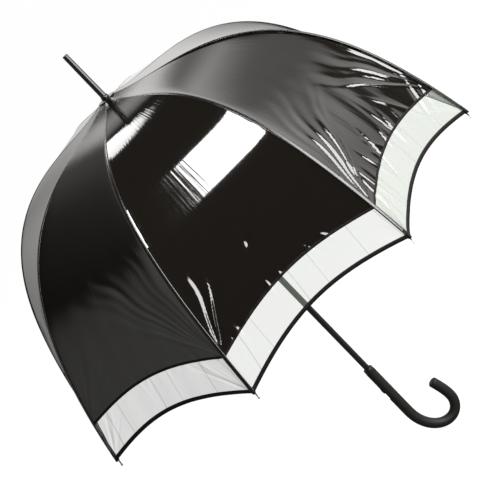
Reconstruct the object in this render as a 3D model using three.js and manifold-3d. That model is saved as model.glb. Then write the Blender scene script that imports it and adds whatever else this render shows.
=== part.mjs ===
// Dome ("birdcage") umbrella with a crook handle, open.
// Millimetres, +Z from the handle towards the ferrule. The part's origin is on the shaft's axis in the middle of
// the straight grip. Inside this file heights are measured from the crown, where the cover meets the crown cap,
// and the outer group lifts everything so that the grip is at the origin.
// The crook bends towards +Y, the push button is on -Y, and the middle of a gore faces +X.
import * as THREE from "three";
import { mergeVertices } from "three/addons/utils/BufferGeometryUtils.js";
import Module from "manifold-3d";

const wasm = await Module();
wasm.setup();

// ---------------------------------------------------------------- driving dimensions
const GRIP_BELOW_CROWN = 700;
const RIB_COUNT = 8;
const SECTOR = (2 * Math.PI) / RIB_COUNT;
const FIRST_RIB_AZIMUTH = -1.5 * SECTOR;
const GAP = 0.3; // between pieces that touch on the real umbrella

// Cover. The open rib's line starts at the crown radius and follows a slope, in radians below the horizontal,
// that is a polynomial in the share of its length.
const CROWN_RADIUS = 16.7;
const RIB_ARC = 617;
const RIB_SLOPE = [0.3197, -3.1731, 16.2814, -19.7594, 7.7085];
const BAND_START = 0.89; // share of the rib where the black film ends and the clear band begins
const HEM_RISE = 0.05; // how far the hem rises in mid-gore, as a share of the rib's length
const GORE_DIP = 0.012; // how far mid-gore lies inside the chord between two ribs, as a share of its radius
const FILM = 0.6;

// Folding frame. The upper rib and the stretcher are equally long, and their pivots at the notch and at the
// runner are at the same distance from the axis, so the runner stays on the axis as the frame folds.
const PIVOT_RADIUS = 9;
const NOTCH_PIVOT_Z = -6;
const RIB_DEPTH = 4.2; // from the cover's face to the middle of the rib
const RIB_SIZE = 3;
const ROD_RADIUS = 1.3;
const CLIP_SHARE = 0.49; // where the rib clip is, as a share of the rib's length
const CLIP_DEPTH = 8; // from the cover's face to the clip's pin
const STRETCHER_WIDTH = 2.4;
const STRETCHER_HEIGHT = 3.2;
const TONGUE = 1.4; // thickness of the flattened ends at the pivots
const EYE_RADIUS = 2.6;
const EYE_HOLE = 1.1;
const PIN_RADIUS = 0.8;
const SLOT_WIDTH = 2.2;

// Shaft, runner and crown.
const SHAFT_RADIUS = 5.2;
const SHAFT_BORE = 4.2;
const SPIGOT_RADIUS = 3.2;
const SPIGOT_TOP = 26;
const SHAFT_BOTTOM = -700;
const BORE_CLEARANCE = 0.3;
const DISC_RADIUS = 13;
const CAP_RADIUS = 16.3;
const FERRULE_BASE = 3.3;
const FERRULE_TOP = 96.5;
const FERRULE_BASE_RADIUS = 5.3;
const FERRULE_TIP_RADIUS = 4.75;
const RUNNER_BELOW_PIVOT = 28;
const DRIVE_SLOT_WIDTH = 2.8;

// Handle.
const COLLAR_TOP = -636;
const COLLAR_HEIGHT = 8;
const COLLAR_RADIUS = 8.6;
const GRIP_RADIUS = 9;
const BEND_START = -744;
const CROOK_LOW = { y: 45, z: -807 };
const CROOK_FAR = { y: 70.5, z: -778 };
const CROOK_END = { y: 63.5, z: -739 };
const RECESS = { top: -690, bottom: -706, depth: 2.5, halfWidth: 5 };
const BUTTON = { top: -680.5, halfWidth: 4, outer: -9.7, inner: -7.9 };

// ---------------------------------------------------------------- solids
function solidOf(geometry) {
  const bare = geometry.clone();
  bare.deleteAttribute("normal");
  bare.deleteAttribute("uv");
  const merged = mergeVertices(bare, 1e-4);
  return new wasm.Manifold(
    new wasm.Mesh({
      numProp: 3,
      vertProperties: new Float32Array(merged.attributes.position.array),
      triVerts: new Uint32Array(merged.index.array),
    }),
  );
}

function geometryOf(solid) {
  const mesh = solid.getMesh();
  const positions = new Float32Array(mesh.triVerts.length * 3);
  mesh.triVerts.forEach((vertex, corner) => {
    for (let k = 0; k < 3; k++) positions[3 * corner + k] = mesh.vertProperties[mesh.numProp * vertex + k];
  });
  const geometry = new THREE.BufferGeometry();
  geometry.setAttribute("position", new THREE.BufferAttribute(positions, 3));
  geometry.computeVertexNormals();
  return geometry;
}

const joined = (first, ...others) => others.reduce((sum, g) => sum.add(solidOf(g)), solidOf(first));
const withCuts = (solid, ...cutters) => cutters.reduce((rest, g) => rest.subtract(solidOf(g)), solid);

// A solid of revolution about Z from [radius, height] pairs that go round the section anticlockwise.
function turned(profile, sides = 20) {
  const points = profile.map(([radius, height]) => new THREE.Vector2(radius, height));
  return new THREE.LatheGeometry(points, sides).rotateX(Math.PI / 2);
}

function ring(inner, outer, bottom, top, sides = 20) {
  return turned([[inner, bottom], [outer, bottom], [outer, top], [inner, top], [inner, bottom]], sides);
}

function block(x, y, z) {
  const box = new THREE.BoxGeometry(x[1] - x[0], y[1] - y[0], z[1] - z[0]);
  return box.translate((x[0] + x[1]) / 2, (y[0] + y[1]) / 2, (z[0] + z[1]) / 2);
}

// A disc whose axis is Y, as every hinge pin of the folding frame is before it is turned to its rib.
function pin(at, radius, length, sides = 8) {
  return new THREE.CylinderGeometry(radius, radius, length, sides).translate(at.r, 0, at.z);
}

// A plate in the rib's own plane, from points {r, z} round its outline, centred on that plane.
function plate(outline, thickness) {
  const shape = new THREE.Shape(outline.map(({ r, z }) => new THREE.Vector2(r, z)));
  const extruded = new THREE.ExtrudeGeometry(shape, { depth: thickness, bevelEnabled: false, curveSegments: 1 });
  return extruded.translate(0, 0, -thickness / 2).rotateX(Math.PI / 2);
}

// A strip of the given height along a line of points {r, z}.
function strip(line, height, thickness) {
  const side = (sign) =>
    line.map((p, i) => {
      const a = line[Math.max(i - 1, 0)];
      const b = line[Math.min(i + 1, line.length - 1)];
      const length = Math.hypot(b.r - a.r, b.z - a.z);
      const half = (sign * height) / 2 / length;
      return { r: p.r - half * (b.z - a.z), z: p.z + half * (b.r - a.r) };
    });
  return plate([...side(-1), ...side(1).reverse()], thickness);
}

function roundSection(radius, sides) {
  const points = Array.from({ length: sides }, (_, i) => {
    const angle = (2 * Math.PI * i) / sides;
    return new THREE.Vector2(radius * Math.cos(angle), radius * Math.sin(angle));
  });
  return new THREE.Shape(points);
}

function swept(path, radius, sides, steps) {
  return new THREE.ExtrudeGeometry(roundSection(radius, sides), { extrudePath: path, steps });
}

class Helix extends THREE.Curve {
  constructor(radius, length, turns) {
    super();
    Object.assign(this, { radius, length, turns });
  }

  getPoint(t, target = new THREE.Vector3()) {
    const angle = 2 * Math.PI * this.turns * t;
    return target.set(this.radius * Math.cos(angle), this.radius * Math.sin(angle), this.length * t);
  }
}

// ---------------------------------------------------------------- the open rib's line
const LINE_STEPS = 400;

function slopeAt(share) {
  return RIB_SLOPE.reduceRight((sum, term) => sum * share + term, 0);
}

const ribLine = [{ r: CROWN_RADIUS, z: 0 }];
for (let i = 1; i <= LINE_STEPS; i++) {
  const slope = slopeAt((i - 0.5) / LINE_STEPS);
  const step = RIB_ARC / LINE_STEPS;
  const last = ribLine[i - 1];
  ribLine.push({ r: last.r + step * Math.cos(slope), z: last.z - step * Math.sin(slope) });
}

// The point of the rib's line at a share of its length, moved inwards, square to the cover, by depth.
function ribAt(share, depth = 0) {
  const at = Math.min(Math.max(share, 0), 1) * LINE_STEPS;
  const i = Math.min(Math.floor(at), LINE_STEPS - 1);
  const rest = at - i;
  const slope = slopeAt(share);
  const r = ribLine[i].r + rest * (ribLine[i + 1].r - ribLine[i].r);
  const z = ribLine[i].z + rest * (ribLine[i + 1].z - ribLine[i].z);
  return { r: r - depth * Math.sin(slope), z: z - depth * Math.cos(slope) };
}

const shares = (from, to, steps) => Array.from({ length: steps + 1 }, (_, i) => from + ((to - from) * i) / steps);

// ---------------------------------------------------------------- pivots
const notchPivot = { r: PIVOT_RADIUS, z: NOTCH_PIVOT_Z };
const clipPivot = ribAt(CLIP_SHARE, CLIP_DEPTH);
const runnerPivot = { r: PIVOT_RADIUS, z: 2 * clipPivot.z - notchPivot.z };
const linkLength = Math.hypot(clipPivot.r - notchPivot.r, clipPivot.z - notchPivot.z);

// ---------------------------------------------------------------- building the scene graph
const crown = new THREE.Group();
crown.position.z = GRIP_BELOW_CROWN;

const finish = (color, roughness, metalness = 0, opacity = 1) => () =>
  new THREE.MeshStandardMaterial({ color, roughness, metalness, opacity, transparent: opacity < 1 });
const blackFilm = finish(0x0d0c0b, 0.12);
const clearFilm = finish(0xe6eae4, 0.15, 0, 0.35);
const glossBlack = finish(0x0b0b0b, 0.18);
const shaftPaint = finish(0x1a1a19, 0.35, 0.3);
const grip = finish(0x171716, 0.7);
const blackPlastic = finish(0x141414, 0.45);
const framePaint = finish(0x1b1b1b, 0.4, 0.5);
const steel = finish(0x8d9092, 0.3, 0.9);

function add(name, shape, material, azimuth = 0) {
  const geometry = shape instanceof THREE.BufferGeometry ? shape : geometryOf(shape);
  const mesh = new THREE.Mesh(geometry, material());
  mesh.name = name;
  mesh.rotation.z = azimuth;
  crown.add(mesh);
  return mesh;
}

function forEachRib(make) {
  for (let i = 0; i < RIB_COUNT; i++) make(i + 1, FIRST_RIB_AZIMUTH + i * SECTOR);
}

// ---------------------------------------------------------------- cover
// One point of the cover between two ribs: u is the share along the gore, t runs from one rib (-1) to the next (1).
function coverPoint(u, t, depth, edgeGap) {
  const flatness = 1 - t * t;
  const share = u * (1 - HEM_RISE * u * flatness);
  const { r, z } = ribAt(share, depth);
  const across = t * (SECTOR / 2 - edgeGap / r);
  const radius = (r * Math.cos(SECTOR / 2)) / Math.cos(across) - GORE_DIP * r * flatness;
  return [radius * Math.cos(across), radius * Math.sin(across), z];
}

// A closed sheet of film between two shares of the gore, seen from outside with its first rib on the left.
function film(fromShare, toShare, alongSteps, acrossSteps) {
  const positions = [];
  const index = [];
  const columns = acrossSteps + 1;
  const layer = (alongSteps + 1) * columns;
  for (const depth of [0, FILM])
    for (const u of shares(fromShare, toShare, alongSteps))
      for (const t of shares(-1, 1, acrossSteps)) positions.push(...coverPoint(u, t, depth, GAP / 2));
  const quad = (a, b, c, d) => index.push(a, b, c, a, c, d);
  const at = (deep, i, j) => deep * layer + i * columns + j;
  for (let i = 0; i < alongSteps; i++)
    for (let j = 0; j < acrossSteps; j++) {
      quad(at(0, i, j), at(0, i + 1, j), at(0, i + 1, j + 1), at(0, i, j + 1));
      quad(at(1, i, j), at(1, i, j + 1), at(1, i + 1, j + 1), at(1, i + 1, j));
    }
  for (let i = 0; i < alongSteps; i++) {
    quad(at(0, i, 0), at(1, i, 0), at(1, i + 1, 0), at(0, i + 1, 0));
    quad(at(0, i, acrossSteps), at(0, i + 1, acrossSteps), at(1, i + 1, acrossSteps), at(1, i, acrossSteps));
  }
  for (let j = 0; j < acrossSteps; j++) {
    quad(at(0, 0, j), at(0, 0, j + 1), at(1, 0, j + 1), at(1, 0, j));
    quad(at(0, alongSteps, j), at(1, alongSteps, j), at(1, alongSteps, j + 1), at(0, alongSteps, j + 1));
  }
  const geometry = new THREE.BufferGeometry();
  geometry.setAttribute("position", new THREE.Float32BufferAttribute(positions, 3));
  geometry.setIndex(index);
  return geometry;
}

function addCover() {
  const weldGap = GAP / RIB_ARC;
  forEachRib((number, azimuth) => {
    const middle = azimuth + SECTOR / 2;
    add(`canopy_gore_${number}`, film(0, BAND_START - weldGap, 14, 4), blackFilm, middle);
    add(`clear_band_${number}`, film(BAND_START, 1, 2, 4), clearFilm, middle);
  });
}

// ---------------------------------------------------------------- ribs, stretchers and tips
const CHEEK = 0.8; // thickness of each cheek of the clips
const LOWER_CHEEK = 1.4; // from the rib's plane to the middle of the lower rib's cheek
const UPPER_CHEEK = 2.5; // and of the upper rib's cheek
const BAR_START = 6.5; // from a pivot to where a bar has its full section
const CLIP_REACH = 8 / RIB_ARC; // from the clip's pin to the end of the upper rib, as a share of the rib

function bothSides(makeSide, offset) {
  return [-1, 1].map((side) => makeSide().translate(0, side * offset, 0));
}

function upperRib() {
  const start = (BAR_START + 1) / RIB_ARC;
  const line = shares(start, CLIP_SHARE - CLIP_REACH, 8).map((share) => ribAt(share, RIB_DEPTH));
  const root = strip([notchPivot, ribAt(start, RIB_DEPTH), line[1]], 2.4, TONGUE);
  const clipEnd = ribAt(CLIP_SHARE - CLIP_REACH, RIB_DEPTH + 0.5);
  const clipLine = [ribAt(CLIP_SHARE - 2 * CLIP_REACH, RIB_DEPTH + 0.5), clipEnd];
  const clipBlock = strip(clipLine, RIB_SIZE + 1, 2 * UPPER_CHEEK + CHEEK);
  const cheeks = bothSides(() => strip([clipLine[1], clipPivot], 3.4, CHEEK), UPPER_CHEEK);
  const eyes = bothSides(() => pin(clipPivot, EYE_RADIUS, CHEEK), UPPER_CHEEK);
  const body = joined(
    strip(line, RIB_SIZE, RIB_SIZE),
    root,
    pin(notchPivot, EYE_RADIUS - 0.3, TONGUE),
    clipBlock,
    ...cheeks,
    ...eyes,
    pin(clipPivot, PIN_RADIUS, 2 * UPPER_CHEEK, 6),
  );
  return withCuts(body, pin(notchPivot, EYE_HOLE, 4, 6));
}

function lowerRib() {
  const start = CLIP_SHARE + CLIP_REACH * 1.2;
  const points = shares(start, 1, 8).map((share) => ribAt(share, RIB_DEPTH));
  const path = new THREE.CatmullRomCurve3(points.map(({ r, z }) => new THREE.Vector3(r, 0, z)));
  const root = ribAt(start + CLIP_REACH * 0.5, RIB_DEPTH);
  const cheeks = bothSides(() => strip([clipPivot, ribAt(start, RIB_DEPTH), root], 2.6, CHEEK), LOWER_CHEEK);
  const eyes = bothSides(() => pin(clipPivot, EYE_RADIUS, CHEEK), LOWER_CHEEK);
  const bridge = strip([ribAt(start, RIB_DEPTH), root], 2.6, 2 * LOWER_CHEEK);
  const body = joined(swept(path, ROD_RADIUS, 6, 8), bridge, ...cheeks, ...eyes);
  return withCuts(body, pin(clipPivot, EYE_HOLE, 6, 6));
}

function stretcher() {
  const along = (distance) => {
    const share = distance / linkLength;
    const r = runnerPivot.r + share * (clipPivot.r - runnerPivot.r);
    return { r, z: runnerPivot.z + share * (clipPivot.z - runnerPivot.z) };
  };
  const bar = strip([along(BAR_START), along(linkLength - BAR_START - 4)], STRETCHER_HEIGHT, STRETCHER_WIDTH);
  const tongue = strip([runnerPivot, clipPivot], 2.4, TONGUE);
  const eyes = [runnerPivot, clipPivot].map((pivot) => pin(pivot, EYE_RADIUS - 0.2, TONGUE));
  const body = joined(bar, tongue, ...eyes);
  return withCuts(body, pin(runnerPivot, EYE_HOLE, 4, 6), pin(clipPivot, EYE_HOLE, 4, 6));
}

// A sleeve over the end of the rod, with a thin pin and a bead beyond the hem's corner.
const TIP = { sleeve: 9, sleeveRadius: 2, pinRadius: 1.2, pin: 10.5, bead: 1.7 };

function ribTip() {
  const wall = ROD_RADIUS + GAP;
  const outline = [
    [0, 0.3],
    [wall, 0.3],
    [wall, -TIP.sleeve],
    [TIP.sleeveRadius + 0.2, -TIP.sleeve],
    [TIP.sleeveRadius + 0.2, 0],
    [TIP.pinRadius, 1.5],
    [TIP.pinRadius, TIP.pin - TIP.bead],
    [TIP.bead, TIP.pin],
    [TIP.bead, TIP.pin + 1.2],
    [0, TIP.pin + TIP.bead + 0.6],
  ];
  const end = ribAt(1, RIB_DEPTH);
  return turned(outline, 6)
    .rotateY(Math.PI / 2 + slopeAt(1))
    .translate(end.r, 0, end.z);
}

function addFrame() {
  forEachRib((number, azimuth) => {
    add(`rib_upper_${number}`, upperRib(), framePaint, azimuth);
    add(`rib_lower_${number}`, lowerRib(), framePaint, azimuth);
    add(`stretcher_${number}`, stretcher(), framePaint, azimuth);
    add(`rib_tip_${number}`, ribTip(), steel, azimuth);
  });
}

// ---------------------------------------------------------------- crown, runner and shaft
// The cutters for the slots in which the eight ribs or stretchers swing, open at the rim and towards the fold.
function hingeSlots(bottom, top) {
  const inner = SHAFT_RADIUS + BORE_CLEARANCE + 0.9;
  return Array.from({ length: RIB_COUNT }, (_, i) =>
    block([inner, DISC_RADIUS + 4], [-SLOT_WIDTH / 2, SLOT_WIDTH / 2], [bottom, top]).rotateZ(
      FIRST_RIB_AZIMUTH + i * SECTOR,
    ),
  );
}

function hingeWire(height) {
  return new THREE.TorusGeometry(PIVOT_RADIUS, PIN_RADIUS, 5, 2 * RIB_COUNT).translate(0, 0, height);
}

function topNotch() {
  const bore = SHAFT_RADIUS + BORE_CLEARANCE;
  const disc = solidOf(ring(bore, DISC_RADIUS, notchPivot.z - 4, -1 - GAP, 16));
  return withCuts(disc, ...hingeSlots(notchPivot.z - 8, notchPivot.z + 8)).add(solidOf(hingeWire(notchPivot.z)));
}

function runnerSleeve() {
  const bore = SHAFT_RADIUS + BORE_CLEARANCE;
  const pivot = runnerPivot.z;
  const outline = [
    [bore, pivot - RUNNER_BELOW_PIVOT],
    [bore + 3, pivot - RUNNER_BELOW_PIVOT],
    [bore + 3, pivot - RUNNER_BELOW_PIVOT + 4],
    [bore + 2, pivot - RUNNER_BELOW_PIVOT + 5],
    [bore + 2, pivot - 10],
    [DISC_RADIUS, pivot - 4],
    [DISC_RADIUS, pivot + 4],
    [bore, pivot + 4],
    [bore, pivot - RUNNER_BELOW_PIVOT],
  ];
  const sleeve = withCuts(solidOf(turned(outline, 16)), ...hingeSlots(pivot - 4.5, pivot + 8));
  return sleeve.add(solidOf(hingeWire(pivot)));
}

const PLUNGER = { top: -16, bottom: -26, radius: 3.7 }; // heights from the runner's pivot

function drivePlunger() {
  const bottom = runnerPivot.z + PLUNGER.bottom;
  const top = runnerPivot.z + PLUNGER.top;
  const plug = turned([[0, bottom], [PLUNGER.radius, bottom], [PLUNGER.radius, top], [0, top]], 12);
  const tongue = block([-SHAFT_RADIUS - 0.1, -1], [-1, 1], [bottom + 1, top - 1]);
  return joined(plug, tongue);
}

function driveSpring() {
  const bottom = SHAFT_BOTTOM + 1;
  const wire = 0.5;
  const length = runnerPivot.z + PLUNGER.bottom - GAP - 2 * wire - bottom;
  return swept(new Helix(3, length, 16), wire, 4, 80).translate(0, 0, bottom + wire);
}

function shaftTube() {
  const shoulder = -1 - GAP;
  const outline = [
    [SHAFT_BORE, SHAFT_BOTTOM],
    [SHAFT_RADIUS, SHAFT_BOTTOM],
    [SHAFT_RADIUS, shoulder],
    [SPIGOT_RADIUS, shoulder],
    [SPIGOT_RADIUS, SPIGOT_TOP],
    [0, SPIGOT_TOP],
    [0, shoulder - 12],
    [SHAFT_BORE, shoulder - 12],
    [SHAFT_BORE, SHAFT_BOTTOM],
  ];
  const slotTop = runnerPivot.z + PLUNGER.top + 4;
  const halfWidth = DRIVE_SLOT_WIDTH / 2;
  const slot = block([-SHAFT_RADIUS - 1, -2], [-halfWidth, halfWidth], [COLLAR_TOP + 3, slotTop]);
  return withCuts(solidOf(turned(outline)), slot);
}

function crownCap() {
  const bore = SPIGOT_RADIUS + BORE_CLEARANCE;
  const top = FERRULE_BASE - GAP;
  return turned([
    [bore, -1],
    [DISC_RADIUS - 1, -1],
    [DISC_RADIUS - 1, GAP],
    [CAP_RADIUS, GAP],
    [CAP_RADIUS, 1.2],
    [CAP_RADIUS - 1.2, 1.9],
    [FERRULE_BASE_RADIUS + 2.5, 2.3],
    [FERRULE_BASE_RADIUS + 2, top],
    [bore, top],
    [bore, -1],
  ], 20);
}

function ferrule() {
  const bore = SPIGOT_RADIUS + BORE_CLEARANCE;
  const boreTop = SPIGOT_TOP + BORE_CLEARANCE;
  return turned([
    [bore, FERRULE_BASE],
    [FERRULE_BASE_RADIUS + 1.4, FERRULE_BASE],
    [FERRULE_BASE_RADIUS + 1.4, FERRULE_BASE + 3],
    [FERRULE_BASE_RADIUS, FERRULE_BASE + 5],
    [FERRULE_TIP_RADIUS, FERRULE_TOP - 1],
    [FERRULE_TIP_RADIUS - 0.8, FERRULE_TOP],
    [0, FERRULE_TOP],
    [0, boreTop],
    [bore, boreTop],
    [bore, FERRULE_BASE],
  ]);
}

// ---------------------------------------------------------------- handle, button and latch
const inHandlePlane = (y, z) => new THREE.Vector3(0, y, z);

// A quarter of an ellipse that leaves the start along one axis and reaches the end along the other.
function quarter(start, corner, end) {
  const ROUND = 0.5523; // places a Bezier curve's handles so that it follows an ellipse
  return new THREE.CubicBezierCurve3(
    start,
    start.clone().lerp(corner, ROUND),
    end.clone().lerp(corner, ROUND),
    end,
  );
}

function crookPath() {
  const top = inHandlePlane(0, COLLAR_TOP - COLLAR_HEIGHT - GAP);
  const bend = inHandlePlane(0, BEND_START);
  const low = inHandlePlane(CROOK_LOW.y, CROOK_LOW.z);
  const far = inHandlePlane(CROOK_FAR.y, CROOK_FAR.z);
  const end = inHandlePlane(CROOK_END.y, CROOK_END.z);
  const path = new THREE.CurvePath();
  path.add(new THREE.LineCurve3(top, bend));
  path.add(quarter(bend, inHandlePlane(0, CROOK_LOW.z), low));
  path.add(quarter(low, inHandlePlane(CROOK_FAR.y, CROOK_LOW.z), far));
  const lift = (end.z - far.z) / 3;
  const outward = inHandlePlane(CROOK_FAR.y, far.z + lift);
  path.add(new THREE.CubicBezierCurve3(far, outward, inHandlePlane(end.y + 3.5, end.z - lift), end));
  return path;
}

function crookHandle() {
  const path = crookPath();
  const tube = swept(path, GRIP_RADIUS, 16, 34);
  const bore = SHAFT_RADIUS + BORE_CLEARANCE;
  const boreCut = turned([[0, SHAFT_BOTTOM - GAP], [bore, SHAFT_BOTTOM - GAP], [bore, COLLAR_TOP], [0, COLLAR_TOP]]);
  const recessFloor = -(GRIP_RADIUS - RECESS.depth);
  const recess = block([-RECESS.halfWidth, RECESS.halfWidth], [-20, recessFloor], [RECESS.bottom, RECESS.top]);
  const pocketHalf = BUTTON.halfWidth + GAP;
  const pocket = block([-pocketHalf, pocketHalf], [-20, -3], [RECESS.top - GAP, BUTTON.top + GAP]);
  const groove = block([-2.2, 2.2], [BUTTON.inner - GAP, -3], [BUTTON.top - 3, COLLAR_TOP]);
  return withCuts(solidOf(tube), boreCut, recess, pocket, groove);
}

function handleCollar() {
  const bore = SHAFT_RADIUS + BORE_CLEARANCE;
  const bottom = COLLAR_TOP - COLLAR_HEIGHT;
  return turned([
    [bore, bottom],
    [COLLAR_RADIUS, bottom],
    [COLLAR_RADIUS, COLLAR_TOP - 1.5],
    [COLLAR_RADIUS - 1, COLLAR_TOP],
    [bore, COLLAR_TOP],
    [bore, bottom],
  ], 24);
}

function pushButton() {
  const { halfWidth, outer, inner, top } = BUTTON;
  const half = { y: outer + 0.8, z: (RECESS.top + top) / 2 };
  const base = block([-halfWidth, halfWidth], [half.y, inner], [RECESS.top, top]);
  const crownShape = new THREE.CylinderGeometry(halfWidth * 0.8, halfWidth, 0.8, 16);
  const scaled = crownShape.scale(1, 1, (top - RECESS.top) / (2 * halfWidth));
  const dome = scaled.rotateX(Math.PI).translate(0, half.y - 0.39, half.z);
  return joined(base, dome);
}

const PAWL = { inner: -6.8, halfWidth: 1.6, top: COLLAR_TOP - COLLAR_HEIGHT - 2 * GAP - 0.5 };

function latchPawl() {
  const outer = BUTTON.inner + GAP;
  const { halfWidth, inner, top } = PAWL;
  return block([-halfWidth, halfWidth], [outer, inner], [BUTTON.top - 4.5, top]);
}

function buttonSpring() {
  const inner = -SHAFT_RADIUS - GAP;
  const wire = 0.25;
  const length = inner - (BUTTON.inner + GAP) - 2 * wire;
  const coil = swept(new Helix(1.3, length, 3), wire, 4, 24).rotateX(-Math.PI / 2);
  return coil.translate(0, BUTTON.inner + GAP + wire, RECESS.top + 2.4);
}

function addCoreParts() {
  add("shaft_tube", shaftTube(), shaftPaint);
  add("ferrule", ferrule(), glossBlack);
  add("crown_cap", crownCap(), glossBlack);
  add("top_notch", topNotch(), blackPlastic);
  add("runner", runnerSleeve(), blackPlastic);
  add("drive_plunger", drivePlunger(), steel);
  add("drive_spring", driveSpring(), steel);
  add("crook_handle", crookHandle(), grip);
  add("handle_collar", handleCollar(), blackPlastic);
  add("push_button", pushButton(), blackPlastic);
  add("latch_pawl", latchPawl(), steel);
  add("button_spring", buttonSpring(), steel);
}

addCover();
addFrame();
addCoreParts();

const umbrella = new THREE.Group();
umbrella.add(crown);

export default umbrella;
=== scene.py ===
"""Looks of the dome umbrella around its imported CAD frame.

Everything is in metres in the CAD frame: the origin is in the middle of the grip, +Z runs up to the
ferrule, the crook bends towards +Y and the middle of a gore faces +X. The cover repeats part.mjs's formula.
"""
import math
from collections import namedtuple

import bmesh
import bpy
import numpy as np
from mathutils import Matrix, Vector

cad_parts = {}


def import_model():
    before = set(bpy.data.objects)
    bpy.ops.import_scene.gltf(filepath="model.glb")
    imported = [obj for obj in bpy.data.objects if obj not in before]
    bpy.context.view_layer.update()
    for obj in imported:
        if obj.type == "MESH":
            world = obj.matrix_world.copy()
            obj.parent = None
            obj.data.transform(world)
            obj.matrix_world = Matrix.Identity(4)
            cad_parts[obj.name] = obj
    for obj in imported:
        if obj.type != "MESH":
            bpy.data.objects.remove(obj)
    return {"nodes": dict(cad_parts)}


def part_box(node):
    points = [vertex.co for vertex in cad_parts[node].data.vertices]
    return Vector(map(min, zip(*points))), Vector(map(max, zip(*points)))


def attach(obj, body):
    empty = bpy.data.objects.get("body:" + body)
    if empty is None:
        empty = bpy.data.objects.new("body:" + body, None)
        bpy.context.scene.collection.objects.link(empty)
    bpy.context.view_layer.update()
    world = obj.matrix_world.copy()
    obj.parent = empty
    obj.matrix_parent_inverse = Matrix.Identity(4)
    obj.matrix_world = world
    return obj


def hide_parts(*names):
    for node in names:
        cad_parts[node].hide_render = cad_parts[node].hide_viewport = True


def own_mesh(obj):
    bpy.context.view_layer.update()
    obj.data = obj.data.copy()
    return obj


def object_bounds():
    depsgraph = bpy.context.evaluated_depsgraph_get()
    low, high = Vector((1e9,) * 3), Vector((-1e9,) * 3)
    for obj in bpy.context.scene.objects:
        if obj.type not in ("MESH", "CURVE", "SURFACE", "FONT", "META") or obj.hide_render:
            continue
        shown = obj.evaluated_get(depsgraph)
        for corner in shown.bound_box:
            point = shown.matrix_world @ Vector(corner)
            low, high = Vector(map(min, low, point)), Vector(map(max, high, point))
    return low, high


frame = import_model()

CAD_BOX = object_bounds()
MM = 0.001
RIB_COUNT = 8
SECTOR = 2 * math.pi / RIB_COUNT
HALF = SECTOR / 2
FIRST_RIB_AZIMUTH = -1.5 * SECTOR
UP = np.array([0, 0, 1.0])

# -------------------- the cover's shape, as in part.mjs
# On the cover, u runs from 0 at the crown to 1 at the hem, as a share of the rib's arc, and t runs across a
# gore from -1 at the rib where it starts to 1 at the rib where it ends.
CROWN_RADIUS = 16.7 * MM
CROWN_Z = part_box("canopy_gore_1")[1].z
RIB_ARC = 617 * MM
RIB_SLOPE = [0.3197, -3.1731, 16.2814, -19.7594, 7.7085]
CLIP_SHARE = 0.49
BAND_START = 0.89
HEM_RISE = 0.05
GORE_DIP = 0.012
FILM = 0.4 * MM
LINE_STEPS = 3000
LINE_ENDS = (-0.02, 1.02)
NORMAL_STEP = 2e-4


def slope_at(share):
    """How steeply the open rib runs down, in radians."""
    return sum(term * share**power for power, term in enumerate(RIB_SLOPE))


def rib_line():
    """Share, radius and height along the open rib, a little beyond both its ends."""
    share = np.linspace(*LINE_ENDS, LINE_STEPS + 1)
    step = RIB_ARC * (share[1] - share[0])
    middles = slope_at((share[1:] + share[:-1]) / 2)
    radius = step * np.concatenate([[0], np.cumsum(np.cos(middles))])
    height = -step * np.concatenate([[0], np.cumsum(np.sin(middles))])
    radius_at_crown = np.interp(0, share, radius)
    height_at_crown = np.interp(0, share, height)
    return share, radius - radius_at_crown + CROWN_RADIUS, height - height_at_crown + CROWN_Z


LINE_SHARE, LINE_RADIUS, LINE_HEIGHT = rib_line()


def rib_at(share):
    """Radius and height of the open rib's line."""
    return np.interp(share, LINE_SHARE, LINE_RADIUS), np.interp(share, LINE_SHARE, LINE_HEIGHT)


def plain_cover(u, t):
    """The cover between two ribs, in the gore's own frame, whose X axis runs through mid-gore."""
    flatness = 1 - t * t
    r, z = rib_at(u * (1 - HEM_RISE * u * flatness))
    across = t * HALF
    radius = r * math.cos(HALF) / np.cos(across) - GORE_DIP * r * flatness
    return np.stack([radius * np.cos(across), radius * np.sin(across), z], -1)


def unit(v):
    return v / np.linalg.norm(v, axis=-1, keepdims=True)


def outward(surface, u, t):
    """The unit normal of a surface over the gore, by small steps along it and across it."""
    along = surface(u + NORMAL_STEP, t) - surface(u - NORMAL_STEP, t)
    across = surface(u, t + NORMAL_STEP) - surface(u, t - NORMAL_STEP)
    return unit(np.cross(across, along)) * -1.0


# -------------------- wrinkles of the film
# Keys are a gore, or a gore and its side: 0 where it starts, 1 where it ends. Others have the usual values.
# The film is gathered at the corners where it is tied to the ribs: the number of folds, their height, how
# far from the corner they are highest, the angle over which they spread and the angle of one, in radians.
Folds = namedtuple("Folds", "count height peak spread width")
USUAL_FOLDS = Folds(6, 0.38 * MM, 50 * MM, 1.0, 0.050)
CORNER_FOLDS = {
    (1, 0): Folds(5, 0.40 * MM, 60 * MM, 1.2, 0.050),
    (1, 1): Folds(8, 0.80 * MM, 80 * MM, 1.0, 0.055),
    (2, 0): Folds(5, 2.10 * MM, 72 * MM, 0.60, 0.060),
    (2, 1): Folds(3, 0.25 * MM, 40 * MM, 0.9, 0.050),
    (3, 0): Folds(9, 1.50 * MM, 62 * MM, 0.85, 0.050),
    (3, 1): Folds(5, 0.90 * MM, 80 * MM, 0.7, 0.055),
}
HEM_FOLDS = Folds(5, 0.60 * MM, 34 * MM, 0.9, 0.045)
# Folds spread from this angle on, wander a little, and come in over this distance from the corner.
FIRST_FOLD_ANGLE = 0.03
FOLD_WANDER = 0.04
FOLD_WANDER_LENGTH = 110 * MM
NARROWEST_FOLD = 2.8 * MM
FOLDS_COME_IN = (3 * MM, 18 * MM)
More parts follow.
